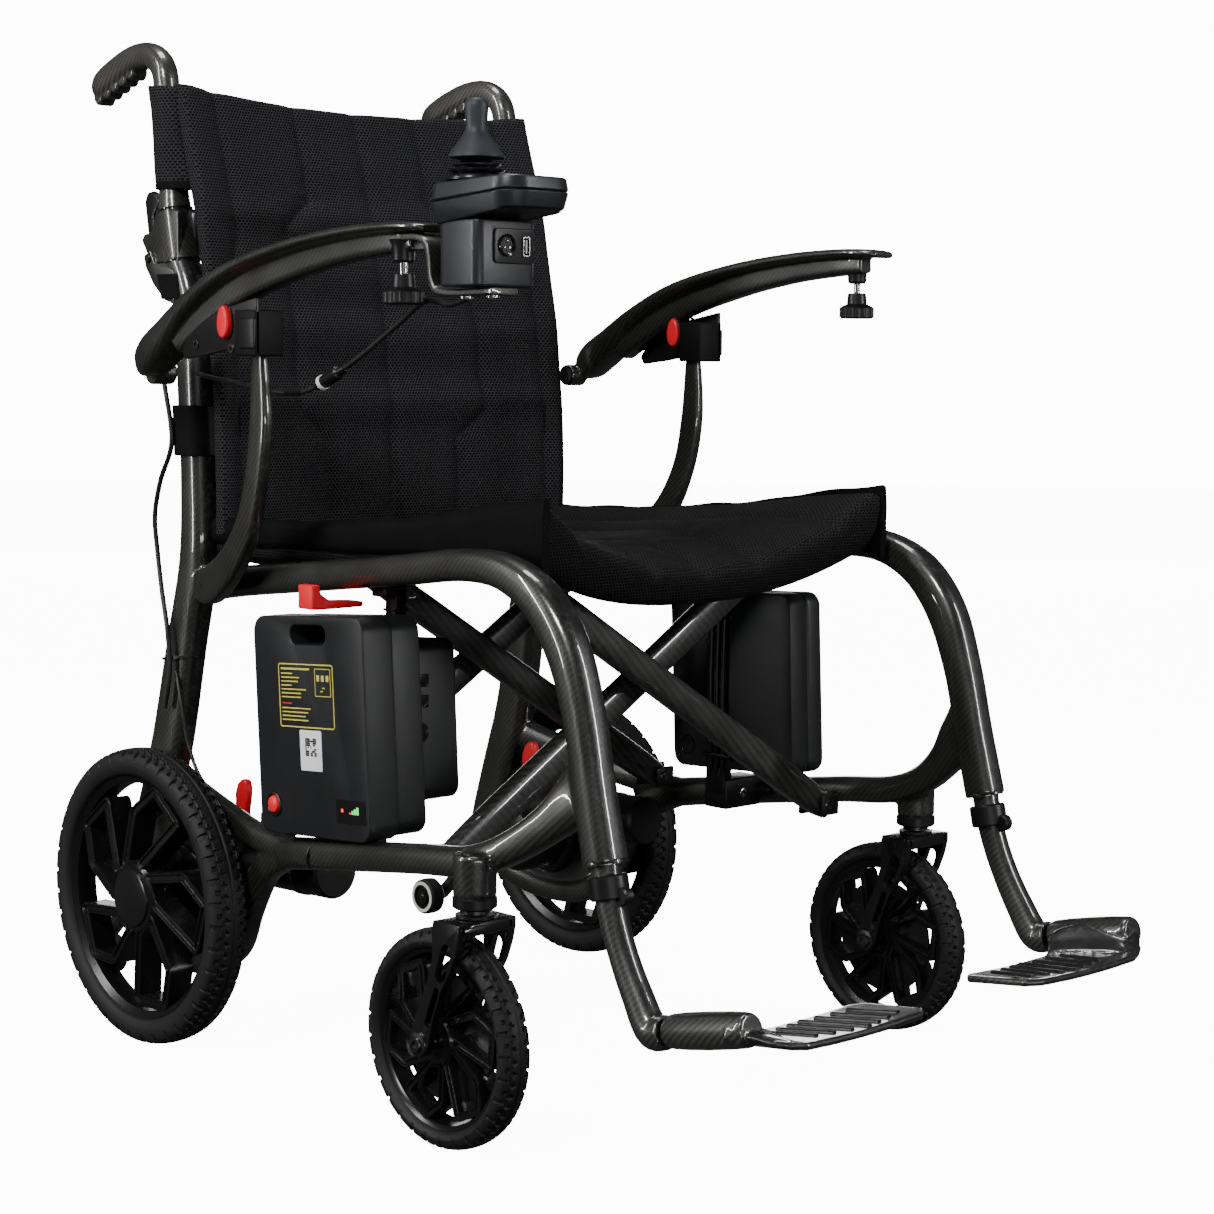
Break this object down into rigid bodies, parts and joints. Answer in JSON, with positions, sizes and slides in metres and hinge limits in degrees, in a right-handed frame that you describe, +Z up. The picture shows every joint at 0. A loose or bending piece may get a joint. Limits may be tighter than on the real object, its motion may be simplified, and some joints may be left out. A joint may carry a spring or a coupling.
{
  "type": "folding power wheelchair",
  "caption": "Folding power wheelchair: carbon side frames joined by cross braces, sling seat and back, flip-up armrests with joystick, drive wheels, casters, footplates.",
  "frame": {"origin": "on the floor under the centre of the whole chair's box", "axes": "+Z up, the seat faces -Y, the user's left hand is at +X"},
  "size_m": [0.672, 1.0386, 1.0121],
  "materials": {
    "carbon": "clear-coated woven carbon fibre",
    "black_plastic": "satin moulded black",
    "controller_plastic": "satin dark grey",
    "soft_grey": "soft-touch dark grey",
    "red_plastic": "satin red",
    "tyre": "matt rubber",
    "rim_plastic": "satin black moulding",
    "black_metal": "gloss black coating",
    "mesh_fabric": "black spacer mesh",
    "cable": "black sheath"
  },
  "bodies": {
    "right_frame": {"right_side_frame": "carbon", "right_arm_support": "carbon", "right_drive_motor": "black_metal", "battery_dock": "black_plastic", "motor_lead": "cable", "controller_lead": "cable"},
    "left_frame": {"left_side_frame": "carbon", "left_arm_support": "carbon", "left_drive_motor": "black_metal", "control_box": "black_plastic"},
    "right_brace": {"right_brace_front": "carbon", "right_brace_rear": "carbon", "left_seat_tube": "black_metal"},
    "left_brace": {"left_brace_front": "carbon", "left_brace_rear": "carbon", "right_seat_tube": "black_metal"},
    "seat": {"seat_sling": "mesh_fabric"},
    "back_lower": {"back_fabric_lower": "mesh_fabric"},
    "right_back": {"right_back_post": "carbon"},
    "right_back_latch": {"right_back_latch": "black_plastic"},
    "left_back": {"left_back_post": "carbon"},
    "left_back_latch": {"left_back_latch": "black_plastic"},
    "back_upper": {"back_fabric_upper": "mesh_fabric"},
    "right_armrest": {"right_armrest": "carbon", "right_arm_bracket": "black_plastic", "controller_mount": "carbon", "controller_base": "controller_plastic", "controller_pad": "controller_plastic", "joystick_boot": "black_plastic"},
    "right_arm_button": {"right_arm_button": "red_plastic"},
    "right_arm_knob": {"right_arm_knob": "black_plastic"},
    "right_rear_wheel": {"right_rear_rim": "rim_plastic", "right_rear_tyre": "tyre"},
    "right_clutch_lever": {"right_clutch_lever": "red_plastic"},
    "right_caster": {"right_caster_fork": "black_metal"},
    "right_caster_wheel": {"right_caster_rim": "rim_plastic", "right_caster_tyre": "tyre"},
    "right_footrest": {"right_footrest_post": "carbon"},
    "right_footplate": {"right_footplate": "carbon"},
    "right_anti_tip_roller": {"right_anti_tip_roller": "tyre"},
    "left_armrest": {"left_armrest": "carbon", "left_arm_bracket": "black_plastic"},
    "left_arm_button": {"left_arm_button": "red_plastic"},
    "left_arm_knob": {"left_arm_knob": "black_plastic"},
    "left_rear_wheel": {"left_rear_rim": "rim_plastic", "left_rear_tyre": "tyre"},
    "left_clutch_lever": {"left_clutch_lever": "red_plastic"},
    "left_caster": {"left_caster_fork": "black_metal"},
    "left_caster_wheel": {"left_caster_rim": "rim_plastic", "left_caster_tyre": "tyre"},
    "left_footrest": {"left_footrest_post": "carbon"},
    "left_footplate": {"left_footplate": "carbon"},
    "left_anti_tip_roller": {"left_anti_tip_roller": "tyre"},
    "joystick_gimbal": {"joystick_gimbal": "black_metal"},
    "joystick_knob": {"joystick_knob": "soft_grey"},
    "power_key": {"power_key": "soft_grey"},
    "horn_key": {"horn_key": "soft_grey"},
    "battery": {"battery": "black_plastic"},
    "battery_button": {"battery_button": "red_plastic"},
    "battery_latch": {"battery_latch": "red_plastic"}
  },
  "joints": [
    {"name": "frame_fold", "type": "slide", "parent": "right_frame", "child": "left_frame", "axis": [-1, 0, 0], "range_m": [0, 0.133], "deforming": ["seat_sling", "back_fabric_lower", "back_fabric_upper"]},
    {"name": "right_brace_swing", "type": "hinge", "parent": "right_frame", "child": "right_brace", "pos_m": [-0.234, 0.0298, 0.24], "axis": [0, -1, 0], "range_deg": [0, 21.6]},
    {"name": "left_brace_swing", "type": "hinge", "parent": "left_frame", "child": "left_brace", "pos_m": [0.234, -0.0002, 0.24], "axis": [0, 1, 0], "range_deg": [0, 21.6]},
    {"name": "seat_rise", "type": "slide", "parent": "right_frame", "child": "seat", "axis": [-0.4152, 0, 0.9097], "range_m": [0, 0.16066]},
    {"name": "back_lower_shift", "type": "slide", "parent": "right_frame", "child": "back_lower", "axis": [-1, 0, 0], "range_m": [0, 0.067]},
    {"name": "right_back_fold", "type": "hinge", "parent": "right_frame", "child": "right_back", "pos_m": [-0.23, 0.3774, 0.7928], "axis": [-1, 0, 0], "range_deg": [0, 115], "deforming": ["back_fabric_upper"]},
    {"name": "right_back_latch_pull", "type": "hinge", "parent": "right_back", "child": "right_back_latch", "pos_m": [-0.23, 0.3888, 0.815], "axis": [-1, 0, 0], "range_deg": [0, 15], "stiffness_Nm_per_rad": 0.5},
    {"name": "left_back_fold", "type": "hinge", "parent": "left_frame", "child": "left_back", "pos_m": [0.23, 0.3774, 0.7928], "axis": [-1, 0, 0], "range_deg": [0, 115]},
    {"name": "left_back_latch_pull", "type": "hinge", "parent": "left_back", "child": "left_back_latch", "pos_m": [0.23, 0.3888, 0.815], "axis": [-1, 0, 0], "range_deg": [0, 15], "stiffness_Nm_per_rad": 0.5},
    {"name": "back_upper_shift", "type": "slide", "parent": "right_back", "child": "back_upper", "axis": [-1, 0, 0], "range_m": [0, 0.067]},
    {"name": "right_armrest_flip", "type": "hinge", "parent": "right_frame", "child": "right_armrest", "pos_m": [-0.27, 0.3048, 0.677], "axis": [-1, 0, 0], "range_deg": [0, 80], "deforming": ["controller_lead"]},
    {"name": "right_arm_button_press", "type": "slide", "parent": "right_armrest", "child": "right_arm_button", "axis": [1, 0, 0], "range_m": [0, 0.003], "stiffness_N_per_m": 300},
    {"name": "right_arm_knob_turn", "type": "hinge", "parent": "right_armrest", "child": "right_arm_knob", "pos_m": [-0.301, -0.1032, 0.75], "axis": [0, 0, 1], "continuous": true},
    {"name": "right_rear_wheel_spin", "type": "hinge", "parent": "right_frame", "child": "right_rear_wheel", "pos_m": [-0.298, 0.3098, 0.15], "axis": [1, 0, 0], "continuous": true},
    {"name": "right_clutch_throw", "type": "hinge", "parent": "right_frame", "child": "right_clutch_lever", "pos_m": [-0.198, 0.2858, 0.222], "axis": [-1, 0, 0], "range_deg": [0, 35]},
    {"name": "right_caster_swivel", "type": "hinge", "parent": "right_frame", "child": "right_caster", "pos_m": [-0.298, -0.1972, 0.2], "axis": [0, 0, 1], "continuous": true},
    {"name": "right_caster_spin", "type": "hinge", "parent": "right_caster", "child": "right_caster_wheel", "pos_m": [-0.297, -0.1602, 0.098], "axis": [1, 0, 0], "continuous": true},
    {"name": "right_footrest_length", "type": "slide", "parent": "right_frame", "child": "right_footrest", "axis": [0, -0.222, -0.975], "range_m": [0, 0.05]},
    {"name": "right_footplate_flip", "type": "hinge", "parent": "right_footrest", "child": "right_footplate", "pos_m": [-0.261, -0.4452, 0.1548], "axis": [0, -0.978, 0.2086], "range_deg": [0, 88]},
    {"name": "right_anti_tip_spin", "type": "hinge", "parent": "right_frame", "child": "right_anti_tip_roller", "pos_m": [-0.224, 0.4978, 0.045], "axis": [1, 0, 0], "continuous": true},
    {"name": "left_armrest_flip", "type": "hinge", "parent": "left_frame", "child": "left_armrest", "pos_m": [0.27, 0.3048, 0.677], "axis": [-1, 0, 0], "range_deg": [0, 80]},
    {"name": "left_arm_button_press", "type": "slide", "parent": "left_armrest", "child": "left_arm_button", "axis": [-1, 0, 0], "range_m": [0, 0.003], "stiffness_N_per_m": 300},
    {"name": "left_arm_knob_turn", "type": "hinge", "parent": "left_armrest", "child": "left_arm_knob", "pos_m": [0.301, -0.1032, 0.75], "axis": [0, 0, 1], "continuous": true},
    {"name": "left_rear_wheel_spin", "type": "hinge", "parent": "left_frame", "child": "left_rear_wheel", "pos_m": [0.298, 0.3098, 0.15], "axis": [1, 0, 0], "continuous": true},
    {"name": "left_clutch_throw", "type": "hinge", "parent": "left_frame", "child": "left_clutch_lever", "pos_m": [0.198, 0.2858, 0.222], "axis": [-1, 0, 0], "range_deg": [0, 35]},
    {"name": "left_caster_swivel", "type": "hinge", "parent": "left_frame", "child": "left_caster", "pos_m": [0.298, -0.1972, 0.2], "axis": [0, 0, 1], "continuous": true},
    {"name": "left_caster_spin", "type": "hinge", "parent": "left_caster", "child": "left_caster_wheel", "pos_m": [0.297, -0.1602, 0.098], "axis": [1, 0, 0], "continuous": true},
    {"name": "left_footrest_length", "type": "slide", "parent": "left_frame", "child": "left_footrest", "axis": [0, -0.222, -0.975], "range_m": [0, 0.05]},
    {"name": "left_footplate_flip", "type": "hinge", "parent": "left_footrest", "child": "left_footplate", "pos_m": [0.261, -0.4452, 0.1548], "axis": [0, 0.978, -0.2086], "range_deg": [0, 88]},
    {"name": "left_anti_tip_spin", "type": "hinge", "parent": "left_frame", "child": "left_anti_tip_roller", "pos_m": [0.224, 0.4978, 0.045], "axis": [1, 0, 0], "continuous": true},
    {"name": "joystick_forward", "type": "hinge", "parent": "right_armrest", "child": "joystick_gimbal", "pos_m": [-0.297, -0.1952, 0.842], "axis": [1, 0, 0], "range_deg": [-15, 15], "stiffness_Nm_per_rad": 0.4, "deforming": ["joystick_boot"]},
    {"name": "joystick_sideways", "type": "hinge", "parent": "joystick_gimbal", "child": "joystick_knob", "pos_m": [-0.297, -0.1952, 0.842], "axis": [0, 1, 0], "range_deg": [-15, 15], "stiffness_Nm_per_rad": 0.4, "deforming": ["joystick_boot"]},
    {"name": "power_key_press", "type": "slide", "parent": "right_armrest", "child": "power_key", "axis": [0, 0, -1], "range_m": [0, 0.0015], "stiffness_N_per_m": 400},
    {"name": "horn_key_press", "type": "slide", "parent": "right_armrest", "child": "horn_key", "axis": [0, 0, -1], "range_m": [0, 0.0015], "stiffness_N_per_m": 400},
    {"name": "battery_slide", "type": "slide", "parent": "right_frame", "child": "battery", "axis": [-1, 0, 0], "range_m": [0, 0.075]},
    {"name": "battery_button_press", "type": "slide", "parent": "battery", "child": "battery_button", "axis": [1, 0, 0], "range_m": [0, 0.003], "stiffness_N_per_m": 300},
    {"name": "battery_latch_lift", "type": "hinge", "parent": "right_frame", "child": "battery_latch", "pos_m": [-0.234, 0.0528, 0.462], "axis": [0, 1, 0], "range_deg": [0, 28]}
  ],
  "couplings": [
    {"joint": "right_brace_swing", "follows": "frame_fold", "rad_per_m": 2.8214},
    {"joint": "left_brace_swing", "follows": "frame_fold", "rad_per_m": 2.8214},
    {"joint": "seat_rise", "follows": "frame_fold", "ratio": 1.2042},
    {"joint": "back_lower_shift", "follows": "frame_fold", "ratio": 0.5},
    {"joint": "left_back_fold", "follows": "right_back_fold", "ratio": 1},
    {"joint": "back_upper_shift", "follows": "frame_fold", "ratio": 0.5}
  ]
}
